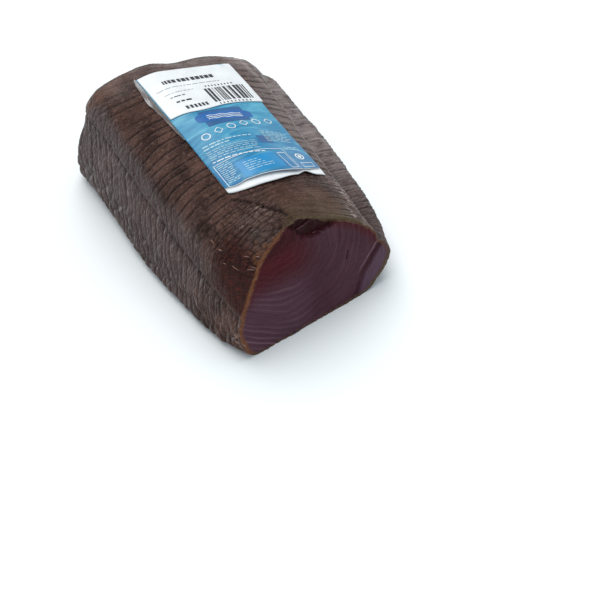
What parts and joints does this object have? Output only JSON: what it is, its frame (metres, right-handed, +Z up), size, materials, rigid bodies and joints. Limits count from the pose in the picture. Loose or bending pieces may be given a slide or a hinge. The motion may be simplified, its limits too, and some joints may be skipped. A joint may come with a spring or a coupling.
{
  "type": "smoked tuna",
  "caption": "Block of smoked tuna loin, dark outside with net marks, cut at one end, with a blue and white label stuck on its upper face.",
  "frame": {"origin": "centre of the bounding box, on the underside that the loin rests on", "axes": "+Z up, +Y along the loin from the cut face to the rounded end, +X to the right when looking at the cut face"},
  "size_m": [0.142, 0.1896, 0.0956],
  "materials": {
    "meat": "satin",
    "print": "satin",
    "white": "satin",
    "film": "gloss"
  },
  "bodies": {
    "root": {"loin": "meat", "label_backing": "white", "label_card": "print", "weight_sticker": "white", "label_film": "film"}
  },
  "joints": []
}
